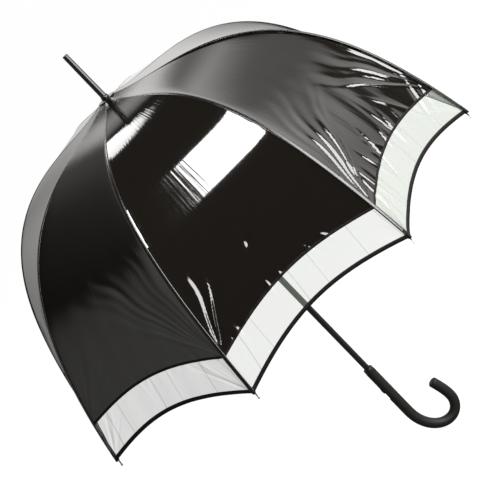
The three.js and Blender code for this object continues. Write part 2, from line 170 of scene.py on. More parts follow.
# What is drawn for each fold: its place in its own part of the spread, and shares of its usual measures.
FOLD_PLACE = (0.15, 0.85)
FOLD_WIDTH = (0.65, 1.35)
FOLD_PEAK = (0.5, 1.5)
FOLD_HEIGHT = (0.4, 1.1)
FOLD_SIGNS = [-1, 1, 1]

# Puckers along the weld of a gore.
Puckers = namedtuple("Puckers", "count height reach")
USUAL_PUCKERS = Puckers(12, 0.40 * MM, 30 * MM)
PUCKERS = {2: Puckers(10, 1.15 * MM, 20 * MM), 3: Puckers(15, 1.05 * MM, 60 * MM)}
PUCKERED_SHARE = 0.95
PUCKER_WIDTH = (2.8 * MM, 6.0 * MM)
PUCKER_LEAN = (-0.5, 0.5)
PUCKER_REACH = (0.25, 1.0)
PUCKER_HEIGHT = (0.3, 1.3)
PUCKER_SIGNS = [-1, 1]

# How far the film drops beside the ridge of a seam, and over what distance, on the gore's two sides. A roll
# comes in between two values of u, like the ripple and the sway.
SEAM_ROLLS = ((0.15 * MM, 5 * MM), (1.2 * MM, 10 * MM))
ROLL_COMES_IN = (0.16, 0.42)
# A fine ripple beside each seam, which runs a little across it.
SEAM_RIPPLE = 0.05 * MM
SEAM_RIPPLE_LENGTH = 38 * MM
SEAM_RIPPLE_REACH = 14 * MM
SEAM_RIPPLE_LEAN = 0.8
BESIDE_SEAM_COMES_IN = (0.1, 0.3)
# How far the film rounds off towards a seam where it is slack.
SLACK = {(3, 0): 2.6 * MM}
SLACK_REACH = 24 * MM
# How much the film sways between the seams.
SWAY = {2: 0.03 * MM}
USUAL_SWAY = 0.13 * MM
SWAY_LENGTH = 60 * MM
SWAY_LEAN = 0.12
SWAY_COMES_IN = (0.40, 0.75)
# Folds, puckers, ripples and sway fade out within this distance of a seam.
HELD_BY_SEAM = 6 * MM
# The corner folds of the black film end here, measured upwards from the weld.
WELD_HOLDS = (-3 * MM, 8 * MM)

# One short sharp crease left in the front gore: its place, its half sizes in u and t, and its lean.
DENTS = {2: -1.3 * MM}
DENT_U, DENT_T = 0.765, -0.083
DENT_LONG, DENT_WIDE = 0.016, 0.045
DENT_LEAN = 0.6

# Waves in a ripple, and the range of their wave numbers as shares of the usual one.
RIPPLE_WAVES = 5
RIPPLE_NUMBERS = (0.65, 1.5)
# Each gore has a hundred seeds of its own. Those of the folds differ by SIDE_SEEDS between its sides.
GORE_SEEDS = 100
SIDE_SEEDS = 10
SEAM_RIPPLE_SEED = 30
PUCKER_SEED = 40
HEM_FOLD_SEED = 50
SWAY_SEED = 60


def ripple(seed, x, wavelength):
    """A smooth random wave of about that wavelength, within about -1 to 1."""
    rng = np.random.default_rng(seed)
    shares = rng.uniform(*RIPPLE_NUMBERS, RIPPLE_WAVES)
    phases = rng.uniform(0, 2 * math.pi, RIPPLE_WAVES)
    waves = (np.sin(2 * math.pi * x * s / wavelength + p) for s, p in zip(shares, phases))
    return sum(waves) / math.sqrt(2 * RIPPLE_WAVES)


def rise(x, start, end):
    """0 before start, 1 after end, smooth between them."""
    s = np.clip((x - start) / (end - start), 0, 1)
    return s * s * (3 - 2 * s)


def corner_folds(seed, folds, from_seam, above):
    """Folds that radiate from a corner where the film is tied to a rib."""
    rng = np.random.default_rng(seed)
    distance = np.hypot(from_seam, above)
    turn = np.arctan2(from_seam, above) + FOLD_WANDER * ripple(seed + 1, distance, FOLD_WANDER_LENGTH)
    narrowest = NARROWEST_FOLD / np.maximum(distance, MM)
    total = 0.0
    for k in range(folds.count):
        middle = (k + rng.uniform(*FOLD_PLACE)) / folds.count * folds.spread + FIRST_FOLD_ANGLE
        width = folds.width * rng.uniform(*FOLD_WIDTH)
        along = distance / (folds.peak * rng.uniform(*FOLD_PEAK))
        size = folds.height * rng.uniform(*FOLD_HEIGHT) * rng.choice(FOLD_SIGNS)
        lens = along * np.exp(0.5 * (1 - along**2))
        total = total + size * lens * np.exp(-(((turn - middle) / np.maximum(width, narrowest)) ** 2))
    return total * rise(distance, *FOLDS_COME_IN)


def weld_puckers(seed, puckers, across, half_width, above):
    """Short puckers square to the weld between the black and the clear film, fading to both sides."""
    rng = np.random.default_rng(seed)
    total = 0.0
    for k in range(puckers.count):
        middle = ((k + rng.uniform(0, 1)) / puckers.count * 2 - 1) * PUCKERED_SHARE
        width = rng.uniform(*PUCKER_WIDTH)
        far = rng.uniform(*PUCKER_REACH) * puckers.reach
        lean = rng.uniform(*PUCKER_LEAN)
        size = puckers.height * rng.uniform(*PUCKER_HEIGHT) * rng.choice(PUCKER_SIGNS)
        offset = across - middle * half_width - lean * above
        total = total + size * np.exp(-((offset / width) ** 2)) * np.exp(-((above / far) ** 2))
    return total


def dent(u, t):
    """A short sharp crease left in the film, 0 to 1."""
    across = (t - DENT_T) / DENT_WIDE
    along = (u - DENT_U) / DENT_LONG
    return np.exp(-((across + DENT_LEAN * along) ** 2) - along**2)


def beside_seam(gore, side, u, from_seam, from_other, free):
    """How the film rolls off, ripples and slackens next to one of a gore's seams."""
    drop, over = SEAM_ROLLS[side]
    roll = (1 - np.exp(-from_seam / over)) * (1 - np.exp(-from_other / over))
    seed = GORE_SEEDS * gore + SEAM_RIPPLE_SEED + side
    wave = ripple(seed, u * RIB_ARC + SEAM_RIPPLE_LEAN * from_seam, SEAM_RIPPLE_LENGTH)
    wave = wave * np.exp(-from_seam / SEAM_RIPPLE_REACH)
    slack = SLACK.get((gore, side), 0.0) * (1 - np.exp(-from_seam / SLACK_REACH))
    below_crown = rise(u, *BESIDE_SEAM_COMES_IN)
    return (SEAM_RIPPLE * wave * free - slack) * below_crown - drop * roll * rise(u, *ROLL_COMES_IN)


def wrinkle(gore, u, t):
    """How far the film stands out from its plain shape, in metres."""
    seed = GORE_SEEDS * gore
    half_width = np.interp(u, LINE_SHARE, LINE_RADIUS) * math.sin(HALF)
    across = t * half_width
    above_weld = (BAND_START - u) * RIB_ARC
    above_hem = (1 - u) * RIB_ARC
    black = rise(above_weld, *WELD_HOLDS)
    seams = ((1 + t) * half_width, (1 - t) * half_width)
    free = rise(seams[0], 0, HELD_BY_SEAM) * rise(seams[1], 0, HELD_BY_SEAM)
    lift = 0.0
    for side, from_seam in enumerate(seams):
        folds = CORNER_FOLDS.get((gore, side), USUAL_FOLDS)
        fold_seed = seed + SIDE_SEEDS * side
        upper = corner_folds(fold_seed, folds, from_seam, np.maximum(above_weld, 0))
        lower = corner_folds(fold_seed + HEM_FOLD_SEED, HEM_FOLDS, from_seam, np.maximum(above_hem, 0))
        lift = lift + free * (upper * black + lower * (1 - black))
        lift = lift + beside_seam(gore, side, u, from_seam, seams[1 - side], free)
    puckers = PUCKERS.get(gore, USUAL_PUCKERS)
    lift = lift + free * weld_puckers(seed + PUCKER_SEED, puckers, across, half_width, above_weld)
    lift = lift + DENTS.get(gore, 0.0) * dent(u, t)
    sway = ripple(seed + SWAY_SEED, across + SWAY_LEAN * u * RIB_ARC, SWAY_LENGTH) * rise(u, *SWAY_COMES_IN)
    return lift + SWAY.get(gore, USUAL_SWAY) * sway * free


def cover(gore):
    """The wrinkled cover of one gore, as a function of u and t."""

    def surface(u, t):
        inside = np.clip(t, -1, 1)
        lift = wrinkle(gore, u, inside)[..., None]
        return plain_cover(u, t) + outward(plain_cover, u, t) * lift

    return surface


def turned_to(azimuth, points):
    """Points or normals of a gore's own frame, turned about Z to its place."""
    c, s = math.cos(azimuth), math.sin(azimuth)
    x, y, z = points[..., 0], points[..., 1], points[..., 2]
    return np.stack([c * x - s * y, s * x + c * y, z], -1)


def rib_azimuth(number):
    return FIRST_RIB_AZIMUTH + (number - 1) * SECTOR


def rib_outward(number):
    azimuth = rib_azimuth(number)
    return np.array([math.cos(azimuth), math.sin(azimuth), 0])


def before(number):
    """The number before this one, round the umbrella."""
    return (number - 2) % RIB_COUNT + 1


# -------------------- meshes
WELD_DISTANCE = 1e-6
LATHE_SIDES = 64
LATHE_SHARP = 40


def add_mesh(name, points, faces, material, corner_normals=None, corner_uvs=None, smooth=True):
    mesh = bpy.data.meshes.new(name)
    mesh.from_pydata(np.asarray(points, float).tolist(), [], [list(map(int, f)) for f in faces])
    mesh.validate()
    if corner_uvs is not None:
        layer = mesh.uv_layers.new(name="film")
        layer.data.foreach_set("uv", np.asarray(corner_uvs, np.float32).ravel())
    mesh.polygons.foreach_set("use_smooth", [smooth] * len(mesh.polygons))
    if corner_normals is not None:
        mesh.normals_split_custom_set(np.asarray(corner_normals, float).tolist())
    mesh.materials.append(material)
    mesh.update()
    piece = bpy.data.objects.new(name, mesh)
    bpy.context.scene.collection.objects.link(piece)
    return piece


def weld(piece):
    """Joins coinciding points, drops empty faces and turns all faces outwards."""
    bm = bmesh.new()
    bm.from_mesh(piece.data)
    bmesh.ops.remove_doubles(bm, verts=bm.verts, dist=WELD_DISTANCE)
    bmesh.ops.dissolve_degenerate(bm, dist=WELD_DISTANCE, edges=bm.edges)
    bmesh.ops.recalc_face_normals(bm, faces=bm.faces)
    bm.to_mesh(piece.data)
    bm.free()


def sharpen(piece, degrees):
    """Smooth faces, with sharp edges where two faces meet at more than that angle."""
    piece.data.polygons.foreach_set("use_smooth", [True] * len(piece.data.polygons))
    piece.data.set_sharp_from_angle(angle=math.radians(degrees))


def grid_faces(rows, columns, start=0):
    """Quads of a grid of points, rows first."""
    i, j = np.meshgrid(np.arange(rows - 1), np.arange(columns - 1), indexing="ij")
    a = (start + i * columns + j).ravel()
    return np.stack([a, a + columns, a + columns + 1, a + 1], -1)


def lathe(name, profile, material):
    """A closed solid of revolution about Z. The profile goes round its section anticlockwise, in metres."""
    ring = np.asarray(profile, float)
    turn = np.arange(LATHE_SIDES) * 2 * math.pi / LATHE_SIDES
    x = np.outer(np.cos(turn), ring[:, 0])
    y = np.outer(np.sin(turn), ring[:, 0])
    z = np.tile(ring[:, 1], (LATHE_SIDES, 1))
    points = np.stack([x, y, z], -1)
    count = len(ring)
    faces = []
    for i in range(LATHE_SIDES):
        here, there = i * count, (i + 1) % LATHE_SIDES * count
        for j in range(count):
            k = (j + 1) % count
            faces.append((here + j, there + j, there + k, here + k))
    piece = add_mesh(name, points.reshape(-1, 3), faces, material)
    weld(piece)
    sharpen(piece, LATHE_SHARP)
    return piece


# -------------------- materials
BLACK_FILM = (0.0036, 0.0029, 0.0022)
CLEAR_FILM = (0.147, 0.165, 0.138)
# Painted shade: towards each seam the clear film's colour goes darker, for the darker look of the film beside
# the ribs.
CLEAR_FILM_SEAM_SHADE = (0.05, 0.065, 0.05)
SEAM_SHADE_T = (0.94, 1.0)
# Painted shade of the clear film's folds: the half width of its lines and the opacity they add.
FOLD_SHADE_HALF_WIDTH = 0.010
FOLD_SHADE_ALPHA = 0.20
NOISE_MIDDLE = 0.5
NOISE_RANGE = (0.3, 0.7)


def new_material(name, colour, roughness, metallic=0.0, ior=1.5, alpha=1.0, specular=0.5):
    m = bpy.data.materials.new(name)
    m.use_nodes = True
    shader = shader_of(m)
    shader.inputs["Base Color"].default_value = (*colour, 1)
    shader.inputs["Roughness"].default_value = roughness
    shader.inputs["Metallic"].default_value = metallic
    shader.inputs["IOR"].default_value = ior
    shader.inputs["Alpha"].default_value = alpha
    shader.inputs["Specular IOR Level"].default_value = specular
    m.diffuse_color = (*colour, alpha)
    return m


def shader_of(m):
    return m.node_tree.nodes["Principled BSDF"]


def node(owner, kind, **settings):
    """A new node of a material or of the world."""
    made = owner.node_tree.nodes.new(kind)
    for key, value in settings.items():
        setattr(made, key, value)
    return made


def link(owner, out, into):
    owner.node_tree.links.new(out, into)


def object_noise(m, scale, detail=3.0, stretch=(1, 1, 1), use_uv=False):
    coordinates = node(m, "ShaderNodeTexCoord")
    mapping = node(m, "ShaderNodeMapping")
    mapping.inputs["Scale"].default_value = stretch
    noise = node(m, "ShaderNodeTexNoise")
    noise.inputs["Scale"].default_value = scale
    noise.inputs["Detail"].default_value = detail
    link(m, coordinates.outputs["UV" if use_uv else "Object"], mapping.inputs["Vector"])
    link(m, mapping.outputs["Vector"], noise.inputs["Vector"])
    return noise.outputs["Fac"]


def map_range(owner, source, given, wanted, interpolation="SMOOTHSTEP"):
    made = node(owner, "ShaderNodeMapRange", interpolation_type=interpolation)
    for key, value in zip(("From Min", "From Max", "To Min", "To Max"), (*given, *wanted)):
        made.inputs[key].default_value = value
    link(owner, source, made.inputs["Value"])
    return made.outputs["Result"]


def calculate(owner, operation, *values):
    made = node(owner, "ShaderNodeMath", operation=operation)
    for value, socket in zip(values, made.inputs):
        if isinstance(value, float):
            socket.default_value = value
        else:
            link(owner, value, socket)
    return made.outputs[0]


def vary_roughness(m, source, low, high):
    link(m, map_range(m, source, NOISE_RANGE, (low, high), "LINEAR"), shader_of(m).inputs["Roughness"])


def vary_colour(m, source, first, second, positions):
    ramp = node(m, "ShaderNodeValToRGB")
    for element, position, colour in zip(ramp.color_ramp.elements, positions, (first, second)):
        element.position = position
        element.color = (*colour, 1)
    link(m, source, ramp.inputs["Fac"])
    link(m, ramp.outputs["Color"], shader_of(m).inputs["Base Color"])


def add_bump(m, source, distance):
    bump = node(m, "ShaderNodeBump")
    bump.inputs["Distance"].default_value = distance
    bump.inputs["Strength"].default_value = 1.0
    link(m, source, bump.inputs["Height"])
    link(m, bump.outputs["Normal"], shader_of(m).inputs["Normal"])


def make_black_film():
    m = new_material("black_film", BLACK_FILM, 0.05, ior=1.53)
    vary_roughness(m, object_noise(m, 9.0), 0.04, 0.075)
    add_bump(m, object_noise(m, 1.0, 2.0, stretch=(26, 3, 1), use_uv=True), 0.0001)
    return m


def make_clear_film():
    m = new_material("clear_film", CLEAR_FILM, 0.09, alpha=0.14)
    # The film's UV is (t, u): t runs from -1 at one seam of a gore to 1 at the other.
    coordinates = node(m, "ShaderNodeTexCoord")
    split = node(m, "ShaderNodeSeparateXYZ")
    link(m, coordinates.outputs["UV"], split.inputs["Vector"])
    from_middle = calculate(m, "ABSOLUTE", split.outputs["X"])
    # Painted shade: the colour darkens over the last few hundredths of t at each seam.
    vary_colour(m, from_middle, CLEAR_FILM, CLEAR_FILM_SEAM_SHADE, SEAM_SHADE_T)
    vary_roughness(m, object_noise(m, 14.0), 0.06, 0.13)
    facing = node(m, "ShaderNodeLayerWeight")
    facing.inputs["Blend"].default_value = 0.5
    seen = map_range(m, facing.outputs["Facing"], (0.15, 0.95), (0.15, 0.85))
    # Painted shade of folds: the film is more opaque, so darker, along lines that run along it, where a
    # stretched noise passes its middle value.
    noise = object_noise(m, 1.0, 0.0, stretch=(2.6, 1.3, 1), use_uv=True)
    off_middle = calculate(m, "ABSOLUTE", calculate(m, "SUBTRACT", noise, NOISE_MIDDLE))
    crease = map_range(m, off_middle, (0.0, FOLD_SHADE_HALF_WIDTH), (FOLD_SHADE_ALPHA, 0.0))
    link(m, calculate(m, "ADD", seen, crease), shader_of(m).inputs["Alpha"])
    return m


def make_gloss_black():
    m = new_material("gloss_black", (0.005, 0.0047, 0.0045), 0.14, specular=0.3)
    vary_roughness(m, object_noise(m, 60.0), 0.10, 0.20)
    return m


def make_shaft():
    m = new_material("shaft", (0.006, 0.0058, 0.0055), 0.32, specular=0.35)
    vary_roughness(m, object_noise(m, 90.0, stretch=(1, 1, 0.08)), 0.27, 0.38)
    return m


def make_grip():
    m = new_material("grip", (0.0058, 0.0052, 0.0046), 0.55, specular=0.2)
    vary_roughness(m, object_noise(m, 300.0), 0.48, 0.62)
    add_bump(m, object_noise(m, 900.0, 4.0), 0.00018)
    return m


def make_black_plastic():
    m = new_material("black_plastic", (0.006, 0.0055, 0.005), 0.4, specular=0.3)
    vary_roughness(m, object_noise(m, 400.0), 0.34, 0.46)
    add_bump(m, object_noise(m, 1200.0), 0.00004)
    return m


def make_frame_paint():
    m = new_material("frame_paint", (0.014, 0.014, 0.014), 0.34)
    vary_roughness(m, object_noise(m, 200.0), 0.28, 0.42)
    return m


def make_steel():
    m = new_material("steel", (0.34, 0.34, 0.35), 0.3, metallic=1.0)
    vary_roughness(m, object_noise(m, 500.0, stretch=(1, 1, 0.1)), 0.22, 0.38)
    return m


def make_tape():
    m = new_material("binding_tape", (0.0035, 0.0032, 0.003), 0.45, ior=1.4, specular=0.1)
    vary_roughness(m, object_noise(m, 500.0), 0.4, 0.52)
    add_bump(m, object_noise(m, 1500.0), 0.00005)
    return m


def make_seam_weld():
    m = new_material("seam_weld", (0.0045, 0.0038, 0.003), 0.26)
    vary_roughness(m, object_noise(m, 70.0), 0.22, 0.32)
    return m


MATERIALS = {
    "black_film": make_black_film(),
    "clear_film": make_clear_film(),
    "gloss_black": make_gloss_black(),
    "shaft": make_shaft(),
    "grip": make_grip(),
    "black_plastic": make_black_plastic(),
    "frame_paint": make_frame_paint(),
    "steel": make_steel(),
}
TAPE = make_tape()
SEAM_WELD = make_seam_weld()
NODE_SLOTS = {
    "canopy_gore": "black_film",
    "clear_band": "clear_film",
    "ferrule": "gloss_black",
    "crown_cap": "gloss_black",
    "shaft_tube": "shaft",
    "crook_handle": "grip",
    "top_notch": "black_plastic",
    "runner": "black_plastic",
    "handle_collar": "black_plastic",
    "push_button": "black_plastic",
    "rib_upper": "frame_paint",
    "rib_lower": "frame_paint",
    "stretcher": "frame_paint",
    "rib_tip": "steel",
    "drive_plunger": "steel",
    "drive_spring": "steel",
    "latch_pawl": "steel",
    "button_spring": "steel",
}


def slot_of(name):
    return next(slot for prefix, slot in NODE_SLOTS.items() if name.startswith(prefix))


# -------------------- CAD nodes that stay
CAD_SHARP = 34
SOFT_NODES = ("canopy_gore", "clear_band")


def smoothing_group():
    """Welds a CAD mesh and smooths it, except where its faces meet at more than the angle CAD_SHARP."""
    tree = bpy.data.node_groups.new("smooth_cad", "GeometryNodeTree")
    tree.interface.new_socket("Geometry", in_out="INPUT", socket_type="NodeSocketGeometry")
    tree.interface.new_socket("Geometry", in_out="OUTPUT", socket_type="NodeSocketGeometry")
    entry = tree.nodes.new("NodeGroupInput")
    leave = tree.nodes.new("NodeGroupOutput")
    merge = tree.nodes.new("GeometryNodeMergeByDistance")
    merge.inputs["Distance"].default_value = WELD_DISTANCE
    bare = tree.nodes.new("GeometryNodeRemoveAttribute")
    bare.inputs["Name"].default_value = "custom_normal"
    faces = tree.nodes.new("GeometryNodeSetShadeSmooth")
    faces.domain = "FACE"
    edges = tree.nodes.new("GeometryNodeSetShadeSmooth")
    edges.domain = "EDGE"
    edges.inputs["Shade Smooth"].default_value = False
    angle = tree.nodes.new("GeometryNodeInputMeshEdgeAngle")
    sharp = tree.nodes.new("FunctionNodeCompare")
    sharp.operation = "GREATER_THAN"
    sharp.inputs["B"].default_value = math.radians(CAD_SHARP)
    links = tree.links
    links.new(entry.outputs[0], bare.inputs["Geometry"])
    links.new(bare.outputs["Geometry"], merge.inputs["Geometry"])
    links.new(merge.outputs["Geometry"], faces.inputs["Geometry"])
    links.new(faces.outputs["Geometry"], edges.inputs["Geometry"])
    links.new(angle.outputs["Unsigned Angle"], sharp.inputs["A"])
    links.new(sharp.outputs["Result"], edges.inputs["Selection"])
    links.new(edges.outputs["Geometry"], leave.inputs[0])
    return tree


def dress_cad_nodes():
    group = smoothing_group()
    for name, piece in frame["nodes"].items():
        piece.data.materials.clear()
        piece.data.materials.append(MATERIALS[slot_of(name)])
        if not name.startswith(SOFT_NODES):
            smoothed = piece.modifiers.new("smooth", "NODES")
            smoothed.node_group = group


# -------------------- film panels
# Each panel is centred on a rib, from mid-gore to mid-gore, and rides with that rib or its lower rod. It
# runs from start to end along the rib, in shares of its length. keep is how much of its width is left when
# the umbrella is closed.
Panel = namedtuple("Panel", "start end rows keep body slot")
ROD_KEEP = 0.075
PANELS = {
    "film_crown": Panel(0.0, 0.025, 6, 0.85, "rib", "black_film"),
    "film_collar": Panel(0.025, 0.06, 8, 0.56, "rib", "black_film"),
    "film_shoulder": Panel(0.06, 0.11, 10, 0.455, "rib", "black_film"),
    "film_top": Panel(0.11, 0.19, 14, 0.395, "rib", "black_film"),
    "film_upper": Panel(0.19, 0.34, 20, 0.345, "rib", "black_film"),
    "film_middle": Panel(0.34, CLIP_SHARE, 20, 0.26, "rib", "black_film"),
    "film_lower": Panel(CLIP_SHARE, BAND_START, 124, ROD_KEEP, "rod", "black_film"),
    "clear_hem": Panel(BAND_START, 1.0, 28, ROD_KEEP, "rod", "clear_film"),
}
REPLACED = {"black_film": "canopy_gore", "clear_film": "clear_band"}
# film_middle goes on under film_lower by a flap, in shares of the rib, so that no gap opens where the rod
# is hinged.
FLAPS = {"film_middle": 0.034}
FLAP_ROWS = 4
FLAP_STEP = 0.0008
FLAP_DEPTH = 2.2 * FILM
# Columns of faces in half a gore, closer together near the seam by this power.
COLUMNS = 52
CROWDING = 1.25
# Normals at a seam are taken this far inside it, in t.
SEAM_MARGIN = 3e-4
CUT_STEPS = 81


def column_offsets():
    """Distance from the seam in shares of half a gore."""
    return np.linspace(0, 1, COLUMNS + 1) ** CROWDING


def panel_sides(number, u):
    """Points, normals and (t, u) of a panel's two halves: from mid-gore to the seam, and from it on."""
    offsets = column_offsets()
    sides = []
    for gore, t in ((before(number), 1 - offsets[::-1]), (number, -1 + offsets)):
        surface = cover(gore)
        uu, tt = np.meshgrid(u, t, indexing="ij")
        points = surface(uu, tt)
        normals = outward(surface, uu, np.clip(tt, -1 + SEAM_MARGIN, 1 - SEAM_MARGIN))
        middle = rib_azimuth(gore) + HALF
        sides.append((turned_to(middle, points), turned_to(middle, normals), np.stack([tt, uu], -1)))
    return sides


def joined_halves(sides):
    """Points and normals across a whole panel, with one shared normal on the seam."""
    (left, left_normals, _), (right, right_normals, _) = sides
    points = np.concatenate([left, right[:, 1:]], 1)
    normals = np.concatenate([left_normals, right_normals[:, 1:]], 1)
    normals[:, COLUMNS] = unit(left_normals[:, -1] + right_normals[:, 0])
    return points, normals


def panel_rows(panel, flap):
    """The rows of a panel along the rib, and how deep each lies under the cover."""
    u = np.linspace(panel.start, panel.end, panel.rows + 1)
    depth = np.zeros(len(u))
    if flap:
        below = panel.end + np.linspace(flap / FLAP_ROWS, flap, FLAP_ROWS)
        u = np.concatenate([u, [panel.end + FLAP_STEP], below])
        depth = np.concatenate([depth, np.full(FLAP_ROWS + 1, FLAP_DEPTH)])
    return u, depth


def corner_values(faces, columns, left, right):
    """A value for each corner of the faces, from the half of the panel that the face belongs to."""
    i, j = faces[:, 0] // columns, faces[:, 0] % columns
    corner_i = np.stack([i, i + 1, i + 1, i], -1)
    corner_j = np.stack([j, j, j + 1, j + 1], -1)
    from_left = left[corner_i, np.clip(corner_j, 0, COLUMNS)]
    from_right = right[corner_i, np.clip(corner_j - COLUMNS, 0, COLUMNS)]
    return np.where((j < COLUMNS)[:, None, None], from_left, from_right)


def rim_faces(points, rows, columns):
    """The narrow faces round the edge of a sheet of two layers, with their own normals."""
    layer = rows * columns
    index = np.arange(layer).reshape(rows, columns)
    faces, normals = [], []
    for loop in (index[0, ::-1], index[:, 0], index[-1, :], index[::-1, -1]):
        a, b = loop[:-1], loop[1:]
        quad = np.stack([a, a + layer, b + layer, b], -1)
        downwards = points[quad[:, 1]] - points[quad[:, 0]]
        onwards = points[quad[:, 3]] - points[quad[:, 0]]
        faces.append(quad)
        normals.append(np.repeat(unit(np.cross(downwards, onwards))[:, None], 4, 1))
    return np.concatenate(faces), np.concatenate(normals)


def film_panel(name, number, panel, flap):
    """A sheet of film with its thickness, with normals and UVs (t, u) at the corners of its faces."""
    u, depth = panel_rows(panel, flap)
    sides = panel_sides(number, u)
    on_cover, normals = joined_halves(sides)
    outer = on_cover - normals * depth[:, None, None]
    inner = outer - normals * FILM
    points = np.concatenate([outer.reshape(-1, 3), inner.reshape(-1, 3)])
    rows, columns = on_cover.shape[:2]
    top = grid_faces(rows, columns)
    under = grid_faces(rows, columns, rows * columns)[:, ::-1]
    rim, rim_normals = rim_faces(points, rows, columns)
    top_normals = corner_values(top, columns, sides[0][1], sides[1][1])
    top_uvs = corner_values(top, columns, sides[0][2], sides[1][2])
    rim_uvs = np.zeros((len(rim), 4, 2)) + top_uvs[0, 0]
    faces = np.concatenate([top, under, rim])
    corner_normals = np.concatenate([top_normals, -top_normals[:, ::-1], rim_normals]).reshape(-1, 3)
    corner_uvs = np.concatenate([top_uvs, top_uvs[:, ::-1], rim_uvs]).reshape(-1, 2)
    return add_mesh(name, points, faces, MATERIALS[panel.slot], corner_normals, corner_uvs)


def flat_size(start, end):
    """Width, length and area of a panel's flat cut, from the plain shape of the cover."""
    u = np.linspace(start, end, CUT_STEPS)
    t = np.linspace(-1, 1, CUT_STEPS)
    points = plain_cover(*np.meshgrid(u, t, indexing="ij"))
    widths = np.linalg.norm(np.diff(points, axis=1), axis=-1).sum(1)
    lengths = np.linalg.norm(np.diff(points, axis=0), axis=-1).sum(0)
    area = np.trapz(widths, u) / (end - start) * lengths.mean()
    return (float(widths.max()), float(lengths.max())), float(area)


def fold_with(piece, number, body):
    """Rides with the rib or the rod, on a mesh of its own."""
    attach(piece, f"{body}_{number}")
    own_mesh(piece)


def make_film():
    for number in range(1, RIB_COUNT + 1):
        for prefix, panel in PANELS.items():
            flap = FLAPS.get(prefix, 0.0)
            piece = film_panel(f"{prefix}_{number}", number, panel, flap)
            fold_with(piece, number, panel.body)
            stem = REPLACED[panel.slot]
            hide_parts(f"{stem}_{number}", f"{stem}_{before(number)}")
            flat, area = flat_size(panel.start, panel.end + flap)
            area = min(area, flat[0] * flat[1])


# -------------------- seams, welts, binding and pockets
SWEPT_SHARP = 50
SEAM_SIDES, WELT_SIDES, TAPE_SIDES = 18, 10, 14
SEAM_WIDTH = 6.4 * MM
SEAM_HEIGHT = 2.6 * MM
SEAM_SUNK = 0.95 * MM
SEAM_AT_CROWN = 0.3
SEAM_WIDENS = (0.0, 0.16)
SEAM_STEPS = 70
# Body and span of a seam's two pieces, in shares of the rib.
SEAMS = {"seam_upper": ("rib", 0.004, 0.492), "seam_lower": ("rod", 0.49, 0.995)}
WELT = (4.6 * MM, 1.5 * MM)
BINDING = (6.6 * MM, 2.4 * MM)
BINDING_ABOVE_HEM = 2.6 * MM
POCKET_LENGTH = 15 * MM
POCKET_STEPS = 14
# A pocket's last two points lie this far past the hem, where its width and height are scaled down.
POCKET_ENDS = (1.5 * MM, 2.2 * MM)
POCKET_END_SCALES = (0.8, 0.45)
# A pocket's width and height at its start and when full, and the share of its length at which it is full.
POCKET_WIDTHS = (3.0 * MM, 6.4 * MM, 0.75)
POCKET_HEIGHTS = (1.4 * MM, 6.8 * MM, 0.6)
POCKET_ABOVE_COVER = 0.9 * MM


def sweep(points, ups, profile):
    """Points and faces of a profile [(side, up)] carried along a line, or of one profile for each point.

    ups are vectors roughly square to the line.
    """
    points = np.asarray(points, float)
    tangents = unit(np.gradient(points, axis=0))
    ups = unit(ups - tangents * (ups * tangents).sum(-1, keepdims=True))
    sides = np.cross(tangents, ups)
    profile = np.asarray(profile, float)
    if profile.ndim == 2:
        profile = np.repeat(profile[None], len(points), 0)
    rings = points[:, None] + sides[:, None] * profile[..., :1] + ups[:, None] * profile[..., 1:]
    count = profile.shape[1]
    faces = []
    for i in range(len(points) - 1):
        here, there = i * count, (i + 1) * count
        for j in range(count):
            k = (j + 1) % count
            faces.append((here + j, here + k, there + k, there + j))
    last = (len(points) - 1) * count
    faces.append(tuple(range(count - 1, -1, -1)))
    faces.append(tuple(last + j for j in range(count)))
    return rings.reshape(-1, 3), faces


def oval(width, height, count, up=0.0):
    turn = np.arange(count) * 2 * math.pi / count
    return np.stack([width / 2 * np.cos(turn), up + height / 2 * np.sin(turn)], -1)


def seam_line(number, shares):
    """Points and upward normals along the open rib."""
    r, z = rib_at(shares)
    slope = slope_at(shares)
    out = rib_outward(number)
    points = r[:, None] * out + z[:, None] * UP
    ups = np.sin(slope)[:, None] * out + np.cos(slope)[:, None] * UP
    return points, ups


def across_line(number, u):
    """Points and normals across a panel at one u, halfway through the film's thickness."""
    points, normals = joined_halves(panel_sides(number, np.array([u])))
    return points[0] - normals[0] * FILM / 2, normals[0]


def add_swept(name, points, ups, profile, material):
    verts, faces = sweep(points, ups, profile)
    piece = add_mesh(name, verts, faces, material)
    weld(piece)
    sharpen(piece, SWEPT_SHARP)
    return piece


def make_seams():
    """The welded seam over each rib: a rounded strip of doubled film, narrower towards the crown."""
    for number in range(1, RIB_COUNT + 1):
        for prefix, (body, first, last) in SEAMS.items():
            shares = np.linspace(first, last, SEAM_STEPS)
            points, ups = seam_line(number, shares)
            scales = SEAM_AT_CROWN + (1 - SEAM_AT_CROWN) * rise(shares, *SEAM_WIDENS)
            profile = scales[:, None, None] * oval(SEAM_WIDTH, SEAM_HEIGHT, SEAM_SIDES, up=-SEAM_SUNK)
            piece = add_swept(f"{prefix}_{number}", points, ups, profile, SEAM_WELD)
            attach(piece, f"{body}_{number}")


def make_welts():
    """The black weld between the black and the clear film."""
    for number in range(1, RIB_COUNT + 1):
        points, normals = across_line(number, BAND_START)
        piece = add_swept(f"film_welt_{number}", points, normals, oval(*WELT, WELT_SIDES), TAPE)
        fold_with(piece, number, "rod")


def make_bindings():
    """The tape folded round the hem."""
    for number in range(1, RIB_COUNT + 1):
        points, normals = across_line(number, 1.0 - BINDING_ABOVE_HEM / RIB_ARC)
        piece = add_swept(f"hem_binding_{number}", points, normals, oval(*BINDING, TAPE_SIDES), TAPE)
        fold_with(piece, number, "rod")


def pocket_sizes(count, start, full, full_at):
    """Widths or heights along a pocket."""
    sizes = start + (full - start) * rise(np.linspace(0, 1, count), 0, full_at)
    sizes[-2:] *= POCKET_END_SCALES
    return sizes


